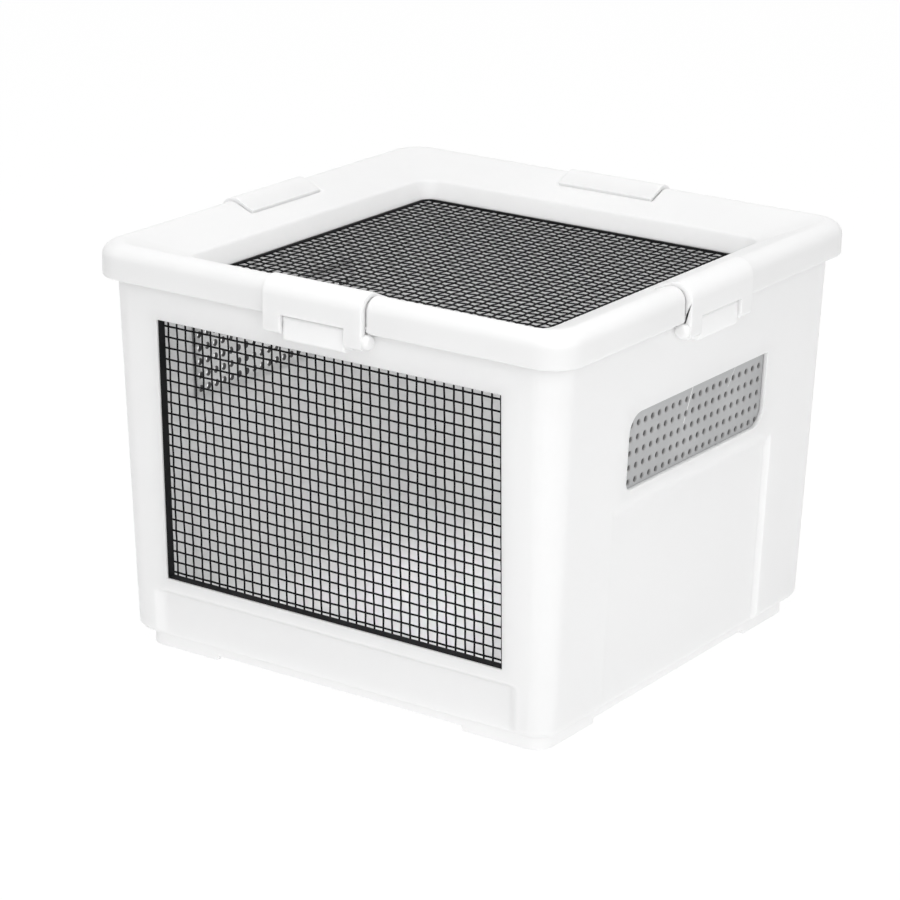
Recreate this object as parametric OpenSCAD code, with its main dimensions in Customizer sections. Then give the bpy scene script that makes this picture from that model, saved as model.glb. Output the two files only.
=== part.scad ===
// Mesh reptile cage: a tapered moulded tub with a mesh window and two side vents,
// a lift-off funnel lid with a mesh floor, and four latches that hook over the lid's rim.
// Millimetres. X runs along the front, the front faces -Y and Z is up.
// The origin is the middle of the footprint, on the surface that the cage stands on.

/* [Overall] */
// Width of the lid along the front
lid_w = 280; // [268:1:400]
// Depth of the lid from front to back
lid_d = 275; // [255:1:400]
// Height from the surface to the top of the latches
height = 215; // [208:1:320]

/* [Lid] */
// Corner radius of the lid, seen from above
lid_corner_r = 17; // [8:0.5:20]
// Thickness of the lid's skirt and funnel
lid_t = 3; // [2.4:0.1:3.4]
// Height of the skirt below the top of the rim
skirt_h = 17.3; // [14:0.1:20]
// Radius of the rim's rounded top
rim_r = 7; // [5:0.1:8]
// Thickness of the lid over the tub's edge
rim_t = 4.1; // [3.4:0.1:5]
// Slope of the funnel below level
funnel_angle = 21.6; // [12:0.1:26]
// Distance of the funnel's lower edge from the lid's face
funnel_inset = 33.5; // [26:0.5:40]
// Distance of the mesh opening from the lid's face
throat_inset = 39.5; // [36:0.5:50]
// Height of the steep wall between the funnel and the mesh
throat_h = 9.2; // [5:0.1:14]
// Corner radius of the funnel's lower edge
funnel_corner_r = 11; // [4:0.5:14]
// Corner radius of the mesh opening
throat_corner_r = 6; // [2:0.5:8]

/* [Tub] */
// Thickness of the tub's walls
wall = 2.5; // [2:0.1:3]
// Thickness of the floor
floor_t = 2.5; // [2:0.1:4]
// Width of the slope between the floor and the walls
floor_slope = 2; // [1:0.1:3]
// Distance of the tub's wall from the lid's face, at the top
rim_inset = 5.4; // [4.8:0.1:6.5]
// Distance of the tub's wall from the lid's face, at the base
base_inset = 12.7; // [9:0.1:16]
// Corner radius of the tub at the top
top_corner_r = 16; // [12:0.5:20]
// Corner radius of the tub at the base
base_corner_r = 11; // [9:0.5:16]
// Radius of the rounded edge round the base
base_round = 5.5; // [3:0.1:6]
// Height of the plinth under the walls
plinth_h = 7.6; // [5:0.1:9]
// Distance of the plinth's face behind the base of the walls
plinth_inset = 6; // [4:0.1:7]
// Thickness of the plinth's ring
plinth_t = 3; // [2.4:0.1:5]
// Corner radius of the plinth
plinth_corner_r = 10; // [7:0.5:14]
// Height of the arches between the feet
foot_h = 2.6; // [1:0.1:3]
// Length of each corner foot along a side
foot_len = 46; // [25:1:70]

/* [Recessed panels] */
// Depth of the recessed panels, behind the wall's outer face
panel_depth = 3; // [2:0.1:4]
// Distance of a side panel's edges from the lid's front and back
side_panel_margin = 62.5; // [40:0.5:90]
// Gap between a side panel and the vent above it
side_panel_gap = 7; // [6:0.5:40]
// Distance of a low panel's edges from the lid's sides, on the front and the back
end_panel_margin = 32; // [29:0.5:60]
// Gap between the low panel and the window above it
end_panel_gap = 6.5; // [6.5:0.5:15]
// Rise of a side panel's slanted top
side_panel_ramp = 5; // [3:0.1:9]
// Rise of a low panel's slanted top
end_panel_ramp = 2; // [2:0.1:6]

/* [Front window] */
// Distance of the window's edges from the lid's sides
window_margin = 37.7; // [32:0.1:70]
// Distance of the window's top below the lid's skirt
window_head = 17.8; // [16:0.1:50]
// Height of the window's sill
window_z = 40.5; // [30:0.1:70]
// Thickness of the black lining round the window
lining_t = 0.5; // [0.4:0.1:2]
// Distance of the lining's front edge behind the wall's outer face
lining_recess = 1.3; // [0.5:0.1:2]
// Width of the black strips behind the wall
strip_w = 4; // [3:0.1:4.4]
// Depth of the mesh behind the wall's outer face
mesh_depth = 5.8; // [5:0.1:7]
// Thickness of the woven mesh
mesh_t = 1.2; // [0.8:0.1:1.6]
// Width of the mesh's wires
wire_w = 1.2; // [0.8:0.1:2]
// Number of gaps across the front mesh
front_net_cols = 20; // [8:1:23]
// Number of gaps up the front mesh
front_net_rows = 13; // [6:1:13]
// Number of gaps along each side of the lid mesh
lid_net_gaps = 17; // [8:1:17]
// Thickness of the black strips under the lid
lid_strip_t = 1; // [0.8:0.1:2]
// How far the strips under the lid show inside the opening
lid_strip_show = 0.6; // [0.2:0.1:2]

/* [Side vents] */
// Distance of a vent's edges from the lid's front and back
vent_margin = 72; // [50:0.5:100]
// Distance of a vent's top below the lid's skirt
vent_head = 38.8; // [20:0.1:60]
// Height of a vent window, along the wall
vent_h = 38.5; // [25:0.5:50]
// Radius of the vent's two large corners
vent_big_r = 10; // [4:0.5:14]
// Radius of the vent's lower corner nearest the front
vent_small_r = 4.5; // [1:0.5:8]
// Radius of the vent's upper corner nearest the back
vent_sharp_r = 1; // [0.5:0.1:4]
// Thickness of the perforated plate
plate_t = 2; // [1.2:0.1:3]
// How far the plate reaches past the vent window
plate_lap = 3.5; // [3:0.1:3.8]
// Diameter of the plate's holes
hole_d = 3.4; // [2:0.1:3.6]
// Diameter of the holes' flared outer mouths
mouth_d = 4; // [3:0.1:4.4]
// Depth of the flare
flare_depth = 0.5; // [0.2:0.1:1]
// Spacing of the plate's holes along a row
hole_pitch = 6.4; // [5.5:0.1:10]
// Spacing of the rows of holes
hole_row_pitch = 7.2; // [5.5:0.1:10]
// Least distance of a hole's middle from the sides of the vent
hole_side_edge = 1.4; // [1:0.1:8]
// Least distance of a hole's middle from the top and bottom of the vent
hole_top_edge = 4.4; // [2:0.1:8]
// Shift of all the holes towards the front
hole_shift = 2.2; // [0:0.1:2.3]
// Shift of all the holes downwards
hole_drop = 2; // [0:0.1:2.2]

/* [Latches] */
// Width of a latch
latch_w = 58; // [48:1:80]
// How far a latch stands proud of the lid's skirt
latch_proud = 2.5; // [2:0.1:3.5]
// How far a latch's lip rises above the lid's rim
lip_rise = 1.4; // [1:0.1:2]
// Reach of a latch's lip over the rim
lip_reach = 18.5; // [12:0.5:20]
// Depth of the notch in the lid's rim under a latch
notch_depth = 1.5; // [1:0.1:1.8]
// Clearance between a latch and the bottom of its notch
latch_gap = 0.3; // [0.25:0.05:0.5]
// Clearance beside a latch
side_gap = 0.8; // [0.4:0.1:1.5]
// Diameter of a latch's hinge barrel
barrel_d = 8; // [7:0.1:8.4]
// Length of the knob that stands out beside one leg
knob_len = 3; // [1:0.5:6]
// Distance of the hinge axis below the lid's skirt
hinge_drop = 4.5; // [4.4:0.1:6]
// Diameter of the hinge pin
pin_d = 3.2; // [2.5:0.1:4]
// Running clearance round the hinge pin
pin_gap = 0.05; // [0.03:0.01:0.08]
// Width of the tub's hinge lug
lug_w = 36.6; // [20:0.1:40]
// Height of the tub's hinge lug
lug_h = 12; // [11:0.1:18]
// How far the lug's face lies behind the latch's face
lug_setback = 1.3; // [1:0.1:2]
// Gap between the lug and the latch above it
bridge_gap = 0.9; // [0.7:0.1:1.5]
// Gap between the lug and the latch's legs
leg_gap = 0.5; // [0.3:0.1:1.5]
// Height of the latch's bridge above the bottom of the skirt
bridge_rise = 1.4; // [1:0.1:2.5]
// Clearance over the bridge's lower edge, where the skirt is cut away behind the latch
skirt_clear = 1.3; // [0.8:0.1:3]
// Radius of the lug's outer corners
lug_round = 1.5; // [1.2:0.1:3]

/* [Hidden] */

// Round faces: arcs on exact solids, and arcs inside lofted shells
$fn = 64;
loft_fn = 32;
// A small overlap that makes cuts clean, and a larger one that roots one shape in another
eps = 0.01;
root = 0.5;
// Clearance between fixed pieces that meet, and between the lid and the tub's edge
seat_gap = 0.05;
lid_gap = 0.3;
// How far a cutting shape reaches past what it cuts
over = 10;

// Colours as photographed
white = [0.95, 0.95, 0.94];
black = [0.05, 0.05, 0.05];
grey = [0.66, 0.67, 0.68];

// Heights down from the top
ridge_z = height - lip_rise;
skirt_z = ridge_z - skirt_h;
shoulder_z = ridge_z - rim_r;

// Height of the funnel's surface at a distance in from the lid's face
function funnel_height(inset) =
    shoulder_z + rim_r / cos(funnel_angle) - (inset - rim_r) * tan(funnel_angle);
funnel_z = funnel_height(funnel_inset);
throat_z = funnel_z - throat_h;
// The funnel's underside lies this much below its surface
shell_drop = lid_t / cos(funnel_angle);
throat_angle = atan2(throat_h, throat_inset - funnel_inset);
throat_shift = lid_t / sin(throat_angle);

// The lid sits on the tub's edge, below the rim and clear of the funnel's underside
edge_inset = rim_inset + wall + lid_gap;
ceiling_z = min(ridge_z - rim_t, funnel_height(edge_inset) - shell_drop);
tub_top = ceiling_z - lid_gap;

// The tub's outer wall leans out evenly from the top of its rounded base
wall_foot = plinth_h + base_round;
lean = (base_inset - rim_inset) / (tub_top - wall_foot);
draft = atan(lean);
function wall_inset(z) = base_inset - lean * (z - wall_foot);
wall_across = wall * cos(draft);

// Window, vents and recessed panels
window_top = skirt_z - window_head;
window_mid = (window_top + window_z) / 2;
window_w = lid_w - 2 * window_margin;
window_h = (window_top - window_z) / cos(draft);
vent_w = lid_d - 2 * vent_margin;
vent_top = skirt_z - vent_head;
vent_z = vent_top - vent_h * cos(draft);
vent_mid = (vent_top + vent_z) / 2;
hole_cols = floor((vent_w - 2 * hole_side_edge) / hole_pitch) + 1;
hole_rows = floor((vent_h - 2 * hole_top_edge) / hole_row_pitch) + 1;
side_panel_w = lid_d - 2 * side_panel_margin;
side_panel_h = vent_z - side_panel_gap;
end_panel_w = lid_w - 2 * end_panel_margin;
end_panel_h = window_z - end_panel_gap;

// Sides of the cage in order: front, right, back, left
side_turn = [180, -90, 0, 90];
side_half = [lid_d / 2, lid_w / 2, lid_d / 2, lid_w / 2];

// Latch section and hinge, measured out from the lid's face
latch_r = rim_r + lip_rise;
hinge_out = latch_proud - barrel_d / 2;
hinge_z = skirt_z - hinge_drop;
lug_face = latch_proud - lug_setback;
bridge_z = skirt_z + bridge_rise;
lug_top = bridge_z - bridge_gap;
leg_inner = lug_w / 2 + leg_gap;
skirt_cut_z = bridge_z + skirt_clear;
// End of each latch that carries its knob, along the side's own x
knob_end = [-1, 1, -1, 1];

// Rounded rectangle with its middle at the origin
module rounded_rect(w, d, r) {
    square([w - 2 * r, d], center = true);
    square([w, d - 2 * r], center = true);
    for (x = [-1, 1], y = [-1, 1])
        translate([x * (w / 2 - r), y * (d / 2 - r)]) circle(r);
}

// Rectangle whose corners have their own radii: lower left, lower right, upper right, upper left
module cornered_rect(w, h, radii) {
    difference() {
        square([w, h], center = true);
        for (i = [0:3]) {
            sx = (i == 0 || i == 3) ? -1 : 1;
            sy = i < 2 ? -1 : 1;
            scale([sx, sy]) translate([w / 2 - radii[i], h / 2 - radii[i]])
                difference() {
                    square(radii[i] + eps);
                    circle(radii[i]);
                }
        }
    }
}

// Thin slice of the cage's outline at a height, a distance in from the lid's face
module slice(inset, r, z) {
    translate([0, 0, z])
        linear_extrude(eps) rounded_rect(lid_w - 2 * inset, lid_d - 2 * inset, r, $fn = loft_fn);
}

// Local frame of a side: x along it, y out from the lid's face, z up
module on_side(side) {
    rotate([0, 0, side_turn[side]]) translate([0, side_half[side], 0]) children();
}

// Section drawn as distance out and height, run along a side
module along_side(length) {
    rotate([90, 0, 90]) linear_extrude(length, center = true) children();
}

// Frame of a leaning wall: y in from the wall's outer face, z up along the wall
module on_wall(side, z) {
    on_side(side) translate([0, -wall_inset(z), z]) rotate([-draft, 0, 0])
        mirror([0, 1, 0]) children();
}

// Section of a rim that stands on the lid's face line: upright, rounded, then along the funnel
module rim_section(back, r) {
    start = [-back - r * sin(funnel_angle), shoulder_z + r * cos(funnel_angle)];
    end = start - funnel_inset * [cos(funnel_angle), sin(funnel_angle)];
    translate([-back, hinge_z]) square([r, shoulder_z - hinge_z]);
    translate([-back, shoulder_z]) circle(r);
    polygon([start, end, [end[0], hinge_z], [-back, hinge_z], [-back, shoulder_z]]);
}

// Tub

// Outside of the tub: rounded base edge, then leaning walls
module tub_outside() {
    hull() {
        for (turn = [0:30:90])
            slice(
                base_inset + base_round * (1 - sin(turn)), base_corner_r,
                wall_foot - base_round * cos(turn));
        slice(rim_inset, top_corner_r, tub_top - eps);
    }
}

// Space inside the tub, open at the top, with a sloped edge round the floor
module tub_inside() {
    floor_z = plinth_h + floor_t;
    slope_z = floor_z + floor_slope;
    hull() {
        slice(wall_inset(slope_z) + wall + floor_slope, base_corner_r - wall, floor_z);
        slice(wall_inset(slope_z) + wall, base_corner_r - wall, slope_z);
        slice(wall_inset(tub_top + over) + wall, top_corner_r - wall, tub_top + over);
    }
}

// Outline of the plinth: a ring under the edge of the floor
module plinth_ring(w, d) {
    difference() {
        rounded_rect(w, d, plinth_corner_r);
        rounded_rect(w - 2 * plinth_t, d - 2 * plinth_t, plinth_corner_r - plinth_t);
    }
}

// Plinth under the floor, with a foot at each corner and an arch between the feet
module plinth() {
    inset = base_inset + plinth_inset;
    w = lid_w - 2 * inset;
    d = lid_d - 2 * inset;
    translate([0, 0, foot_h])
        linear_extrude(plinth_h - foot_h + root) plinth_ring(w, d);
    linear_extrude(foot_h + eps)
        difference() {
            plinth_ring(w, d);
            square([w - 2 * foot_len, d + over], center = true);
            square([w + over, d - 2 * foot_len], center = true);
        }
}

// Cut of a recessed panel: parallel to the wall, with a slanted top
module panel_cut(side, w, h, ramp) {
    on_side(side) along_side(w)
        polygon([
            [-wall_inset(-over) - panel_depth, -over], [-wall_inset(h - ramp) - panel_depth, h - ramp],
            [-wall_inset(h), h], [over, h], [over, -over]]);
}

// Step in the wall behind a recessed panel, which keeps the wall's thickness
module panel_back(side, w, h, ramp) {
    rise = wall / 2;
    back = panel_depth + wall;
    mid = wall / 2;
    low = plinth_h + floor_t / 2;
    on_side(side) along_side(w + 2 * wall)
        polygon([
            [-wall_inset(low) - back, low], [-wall_inset(h - ramp) - back, h - ramp + rise],
            [-wall_inset(h) - wall, h + rise], [-wall_inset(h) - mid, h + rise],
            [-wall_inset(wall_foot) - mid, wall_foot]]);
}

// Hinge lug on the wall under a latch, before its bore
module hinge_lug(side) {
    back = wall_inset(lug_top - lug_h) + wall / 2;
    on_side(side) along_side(lug_w)
        translate([(lug_face - back) / 2, lug_top - lug_h / 2])
            cornered_rect(lug_face + back, lug_h, [eps, lug_round, lug_round, eps]);
}

// Cylinder along a hinge's axis, from one place to another, counted towards the latch's knob
module hinge_rod(side, d, from, to) {
    on_side(side) translate([0, hinge_out, hinge_z]) rotate([0, 90 * knob_end[side], 0])
        translate([0, 0, from]) cylinder(d = d, h = to - from);
}

// Cut of a side vent: side 1 is the right wall, seen with the front at its left
module vent_cut() {
    radii = [vent_small_r, vent_big_r, vent_sharp_r, vent_big_r];
    on_wall(1, vent_mid) rotate([90, 0, 0])
        linear_extrude(2 * over, center = true)
            mirror([1, 0]) cornered_rect(vent_w, vent_h, radii);
}

module window_cut() {
    on_wall(0, window_mid) cube([window_w, 2 * over, window_h], center = true);
}

module tub() {
    color(white)
        difference() {
            union() {
                difference() {
                    union() {
                        tub_outside();
                        plinth();
                    }
                    tub_inside();
                }
                for (side = [0, 2]) panel_back(side, end_panel_w, end_panel_h, end_panel_ramp);
                for (side = [1, 3]) panel_back(side, side_panel_w, side_panel_h, side_panel_ramp);
                for (side = [0:3]) hinge_lug(side);
            }
            for (side = [0, 2]) panel_cut(side, end_panel_w, end_panel_h, end_panel_ramp);
            for (side = [1, 3]) panel_cut(side, side_panel_w, side_panel_h, side_panel_ramp);
            for (side = [0:3]) hinge_rod(side, pin_d + 2 * pin_gap, -lug_w / 2 - root, lug_w / 2 + root);
            window_cut();
            vent_cut();
            mirror([1, 0, 0]) vent_cut();
        }
}

module hinge_pin(side) {
    color(white) hinge_rod(side, pin_d, -latch_w / 2, latch_w / 2);
}

// Lid

// Outside of the lid: upright skirt and rounded rim
module lid_outside() {
    hull() {
        slice(0, lid_corner_r, skirt_z);
        for (turn = [0:22.5:90])
            slice(
                rim_r * (1 - cos(turn)), lid_corner_r - rim_r / 2 * (1 - cos(turn)),
                shoulder_z + rim_r * sin(turn) - eps);
    }
}

// Funnel-shaped space above the lid, moved down by drop
module funnel_space(drop) {
    top_z = ridge_z + root;
    top_inset = funnel_inset - (top_z - funnel_z) / tan(funnel_angle);
    translate([0, 0, -drop])
        hull() {
            slice(top_inset, lid_corner_r - rim_r / 2, top_z);
            slice(funnel_inset, funnel_corner_r, funnel_z);
        }
}

// Steep space between the funnel and the mesh, wider by grow and reaching below the lid by below
module throat_space(grow, below) {
    low = throat_inset + below / tan(throat_angle);
    hull() {
        slice(funnel_inset - grow, funnel_corner_r, funnel_z);
        slice(low - grow, throat_corner_r, throat_z - below);
    }
}

// Room for a latch in the lid's rim
module latch_notch(side) {
    notch_w = latch_w + 2 * side_gap;
    reach = lip_reach + side_gap;
    on_side(side) {
        along_side(notch_w)
            difference() {
                translate([-reach, skirt_z - over]) square([reach + over, height]);
                rim_section(rim_r, rim_r - notch_depth);
            }
        along_side(notch_w)
            translate([-lid_t - root, skirt_z - over])
                square([lid_t + over, skirt_cut_z - skirt_z + over]);
    }
}

module lid() {
    skirt_in_w = lid_w - 2 * lid_t;
    skirt_in_d = lid_d - 2 * lid_t;
    color(white)
        difference() {
            union() {
                difference() {
                    lid_outside();
                    translate([0, 0, skirt_z - over])
                        linear_extrude(ceiling_z - skirt_z + over)
                            rounded_rect(skirt_in_w, skirt_in_d, lid_corner_r - lid_t);
                }
                funnel_space(shell_drop);
                throat_space(throat_shift, 0);
            }
            funnel_space(0);
            throat_space(0, root);
            for (side = [0:3]) latch_notch(side);
        }
}

// Nets and their strips

// Flat net of square gaps with a solid border
module net(w, d, cols, rows, border) {
    gap_w = (w - 2 * border - (cols - 1) * wire_w) / cols;
    gap_d = (d - 2 * border - (rows - 1) * wire_w) / rows;
    linear_extrude(mesh_t)
        difference() {
            square([w, d], center = true);
            for (i = [0:cols - 1], j = [0:rows - 1])
                translate([
                    border - w / 2 + i * (gap_w + wire_w),
                    border - d / 2 + j * (gap_d + wire_w)])
                    square([gap_w, gap_d]);
        }
}

// The lid's mesh lies under the strips, and the strips lie under the throat's edge
strip_reach = throat_shift + lid_strip_show;
strip_outer_w = lid_w - 2 * (throat_inset - throat_shift);
strip_outer_d = lid_d - 2 * (throat_inset - throat_shift);
lid_strip_between = strip_outer_d - 2 * strip_reach - 2 * seat_gap;
lid_strip_z = throat_z - lid_strip_t - seat_gap;

module lid_mesh() {
    color(black)
        translate([0, 0, lid_strip_z - mesh_t])
            net(strip_outer_w, strip_outer_d, lid_net_gaps, lid_net_gaps, strip_reach);
}

// Strip along one side of the lid's mesh, as long as given
module lid_strip(side, length) {
    color(black)
        on_side(side)
            translate([-length / 2, -throat_inset - lid_strip_show, lid_strip_z])
                cube([length, strip_reach, lid_strip_t]);
}

module front_mesh() {
    lap = strip_w - seat_gap;
    color(black)
        on_wall(0, window_mid)
            translate([0, mesh_depth + mesh_t, 0]) rotate([90, 0, 0])
                net(
                    window_w + 2 * lap, window_h + 2 * lap,
                    front_net_cols, front_net_rows, lap + lining_t);
}

// Strip along one edge of the front window: a lining through the wall and a bar behind it
module front_strip(half_span, bar_len, lining_len) {
    bar_from = wall_across + seat_gap;
    edge = half_span - lining_t;
    translate([-bar_len / 2, bar_from, edge])
        cube([bar_len, mesh_depth - bar_from, lining_t + strip_w]);
    translate([-lining_len / 2, lining_recess, edge])
        cube([lining_len, mesh_depth - lining_recess, lining_t - seat_gap]);
}

// A top or bottom strip, turned about the middle of the window
module long_strip(turn) {
    color(black)
        on_wall(0, window_mid) rotate([0, turn, 0])
            front_strip(window_h / 2, window_w + 2 * strip_w, window_w - 2 * seat_gap);
}

// A left or right strip, which fits between the top and bottom strips
module short_strip(turn) {
    between = window_h - 2 * lining_t - 2 * seat_gap;
    color(black)
        on_wall(0, window_mid) rotate([0, turn, 0])
            front_strip(window_w / 2, between, between);
}

// Perforated plate inside the right wall's vent, with holes that flare towards the outside
module vent_plate() {
    inner = wall_across + seat_gap;
    color(grey)
        on_wall(1, vent_mid) translate([0, inner + plate_t, 0]) rotate([90, 0, 0])
            difference() {
                linear_extrude(plate_t)
                    square([vent_w + 2 * plate_lap, vent_h + 2 * plate_lap], center = true);
                for (i = [0:hole_cols - 1], j = [0:hole_rows - 1])
                    translate([
                        (i - (hole_cols - 1) / 2) * hole_pitch + hole_shift,
                        (j - (hole_rows - 1) / 2) * hole_row_pitch - hole_drop, 0]) {
                        translate([0, 0, -root]) cylinder(d = hole_d, h = plate_t + 2 * root, $fn = 24);
                        translate([0, 0, plate_t - flare_depth])
                            cylinder(d1 = hole_d, d2 = mouth_d, h = flare_depth + eps, $fn = 24);
                    }
            }
}

// Latches

// Section of a latch: a hook that follows the rim, on a hinge barrel
module latch_section() {
    difference() {
        rim_section(latch_r - latch_proud, latch_r);
        rim_section(rim_r, rim_r - notch_depth + latch_gap);
        translate([-lip_reach - 3 * over, hinge_z]) square([3 * over, height]);
    }
}

module latch(side) {
    color(white)
        difference() {
            union() {
                on_side(side)
                    difference() {
                        along_side(latch_w) latch_section();
                        translate([-leg_inner, -over, 0])
                            cube([2 * leg_inner, 2 * over, bridge_z]);
                    }
                difference() {
                    hinge_rod(side, barrel_d, -latch_w / 2, latch_w / 2 + knob_len);
                    hinge_rod(side, barrel_d + over, -leg_inner, leg_inner);
                }
            }
            hinge_rod(side, pin_d + 2 * pin_gap, -latch_w / 2 - over, latch_w / 2 + seat_gap);
        }
}

tub();
lid();
lid_mesh();
lid_strip(0, strip_outer_w);  // lid_mesh_strip_front
lid_strip(2, strip_outer_w);  // lid_mesh_strip_back
lid_strip(3, lid_strip_between);  // lid_mesh_strip_left
lid_strip(1, lid_strip_between);  // lid_mesh_strip_right
front_mesh();
long_strip(0);  // front_mesh_strip_top
long_strip(180);  // front_mesh_strip_bottom
short_strip(90);  // front_mesh_strip_left
short_strip(-90);  // front_mesh_strip_right
mirror([1, 0, 0]) vent_plate();  // left_vent_plate
vent_plate();  // right_vent_plate
latch(0);  // latch_front
latch(2);  // latch_back
latch(3);  // latch_left
latch(1);  // latch_right
hinge_pin(0);  // hinge_pin_front
hinge_pin(2);  // hinge_pin_back
hinge_pin(3);  // hinge_pin_left
hinge_pin(1);  // hinge_pin_right
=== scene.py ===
"""Looks of the mesh reptile cage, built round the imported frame.

Lengths here are millimetres, and a mesh turns them into metres when it is made.
X runs along the front, the front faces -Y and Z is up.
Sides are counted from the front, counterclockwise from above: front, right, back, left.
"""
import math
import random
from collections import namedtuple

import bmesh
import bpy
import numpy as np
from mathutils import Matrix, Vector


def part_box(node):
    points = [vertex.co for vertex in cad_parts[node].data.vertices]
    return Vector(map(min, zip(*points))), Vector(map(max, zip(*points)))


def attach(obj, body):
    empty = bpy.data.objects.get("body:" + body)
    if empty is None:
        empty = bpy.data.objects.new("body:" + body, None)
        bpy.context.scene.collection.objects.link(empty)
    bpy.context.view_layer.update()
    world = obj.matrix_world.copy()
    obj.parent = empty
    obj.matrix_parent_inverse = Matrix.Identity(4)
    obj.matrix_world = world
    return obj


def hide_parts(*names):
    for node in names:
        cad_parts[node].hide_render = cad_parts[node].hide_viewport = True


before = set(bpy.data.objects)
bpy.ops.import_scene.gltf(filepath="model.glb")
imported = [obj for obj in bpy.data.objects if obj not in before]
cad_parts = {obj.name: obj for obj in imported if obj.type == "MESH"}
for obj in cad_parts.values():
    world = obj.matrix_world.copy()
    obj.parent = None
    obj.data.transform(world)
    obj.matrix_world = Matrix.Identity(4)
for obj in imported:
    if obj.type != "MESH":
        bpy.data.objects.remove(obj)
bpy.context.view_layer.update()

MM = 0.001


def node_box(name):
    """Lowest and highest corner of a node of the frame, in millimetres."""
    low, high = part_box(name)
    return np.array(low) / MM, np.array(high) / MM


# Overall sizes, from the frame
_, lid_high = node_box("lid")
_, tub_high = node_box("tub")
HALF_W, HALF_D, RIDGE_Z = lid_high
TUB_TOP = tub_high[2]

# Lid
LID_T = 3.0
SKIRT_H = 17.3
RIM_R = 7.0
FUNNEL_ANGLE = math.radians(21.6)
FUNNEL_INSET = 33.5
THROAT_INSET = 39.5
THROAT_H = 9.2
LID_CORNER = 17.0
RIDGE_CORNER = LID_CORNER - RIM_R / 2
FUNNEL_CORNER = 11.0
THROAT_CORNER = 6.0
LID_EDGE = 0.7
KNEE_ROUND = 1.3
LIP_ROUND = 0.6
HEEL_ROUND = 0.5
ROOF_ROUND = 1.2
SKIRT_Z = RIDGE_Z - SKIRT_H
SHOULDER_Z = RIDGE_Z - RIM_R

# Tub
WALL = 2.5
FLOOR_T = 2.5
RIM_INSET = 5.4
BASE_INSET = 12.7
TOP_CORNER = 16.0
BASE_CORNER = 11.0
BASE_ROUND = 5.5
PLINTH_H = 7.6
PLINTH_INSET = BASE_INSET + 6.0
PLINTH_T = 3.0
PLINTH_CORNER = 10.0
FOOT_H = 2.6
FOOT_LEN = 46.0
FOOT_LEAD = 0.3
WALL_FOOT = PLINTH_H + BASE_ROUND
LEAN = (BASE_INSET - RIM_INSET) / (TUB_TOP - WALL_FOOT)

# Recessed panels, on the ends and on the sides: lead is the width of a panel's side walls, and soft is
# how far its fillets reach
PANEL_DEPTH = 3.0
Panel = namedtuple("Panel", "half top rise lead soft")
PANELS = [Panel(108.0, 34.0, 2.0, 7.0, 0.8), Panel(75.0, 112.0, 5.0, 2.0, 1.6)]

# Window, vents and the tub's hinge lugs
WINDOW_HALF = 102.3
WINDOW_Z = (40.5, 178.5)
VENT_HALF = 65.5
VENT_Z = (119.0, 157.5)
VENT_MIDDLE = sum(VENT_Z) / 2
VENT_HALF_H = (VENT_Z[1] - VENT_Z[0]) / 2
VENT_RADII = {"low_front": 4.5, "low_back": 10.0, "high_back": 1.0, "high_front": 10.0}
LUG_HALF = 18.3
LUG_Z = (184.8, 196.8)
LUG_FACE = 1.2
LUG_ROUND = 1.5

# Latches
LATCH_HALF = 29.0
LATCH_PROUD = 2.5
LATCH_R = 8.4
LIP_REACH = 18.5
LIP_THIN = 0.6
LATCH_GAP = 0.3
BARREL_R = 4.0
BARREL_OUT = LATCH_PROUD - BARREL_R
LATCH_TOE = 2.0
KNOB_R = 3.9
KNOB_HALF = 32.2
KNOB_ROUND = 2.0
KNOB_ROOT = 4.0
KNOB_END = [1, -1, 1, -1]
BORE_R = 1.65
HINGE_Z = SKIRT_Z - 4.5
BRIDGE_Z = SKIRT_Z + 1.4
LEG_INNER = 18.8
LEG_GAP_REACH = 40.0

# Notches of the lid, one for each latch
NOTCH_DEPTH = 1.5
NOTCH_GAP = 0.8
NOTCH_HALF = LATCH_HALF + NOTCH_GAP
NOTCH_END = LIP_REACH + NOTCH_GAP
NOTCH_LEAD = 2.2
NOTCH_LAP = 0.2
NOTCH_FADE = 0.8
SKIRT_CUT = BRIDGE_Z + 1.3 - SKIRT_Z
SKIRT_CUT_FADE = 6.0

# Woven meshes: the wire's width, its pitch and shift across and up, how far it rises over another, and the
# seed of its unevenness
Weave = namedtuple("Weave", "wire pitch shift rise seed")
FRONT_WEAVE = Weave(1.0, (5.36, 5.72), (-0.9, -1.6), 0.1, 11)
LID_WEAVE = Weave(1.3, (5.36, 5.4), (0.0, 0.0), 0.16, 23)
WIRE_T = 0.8
WIRE_STRAY = 0.12
WIRE_LEAN = 0.12
WIRE_BOW = 0.15
WIRE_WAVE = 0.06
WAVE_TURN = 9
FRONT_MESH_DEPTH = 6.4
FRONT_MESH_LAP = 3.4
LID_MESH_EDGE = 0.6

# Vent plates
PLATE_T = 2.0
PLATE_LAP = 3.5
PLATE_GAP = 0.05
HOLE_R = 1.5
MOUTH_R = 1.9
FLARE_DEPTH = 0.2
BORE_STEP = 0.9
HOLE_PITCH = (6.4, 7.2)
HOLE_COUNT = (21, 5)
HOLE_SHIFT = (-2.2, -2.0)
# Cosine that parts a plate's flat faces from the walls of its holes
FLAT_FACE = 0.95
# Materials of a plate, in order: the back of each hole is darker than its mouth, as painted shade deep in
# the hole
OUTER_FACE, INNER_FACE, HOLE_MOUTH, SHADED_HOLE_BACK = range(4)
# Ends of a scratch, along the plate and up it, and its width
Scratch = namedtuple("Scratch", "start end width")
SCRATCHES = [Scratch((-10.5, 139), (-3.5, 156.5), 0.6), Scratch((31, 147), (38, 157), 0.3)]

# Rounded edges that are added to finished meshes
TUB_EDGE = 0.35
LATCH_EDGE = 0.8
STRIP_EDGE = 0.15
PIN_EDGE = 0.3

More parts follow.
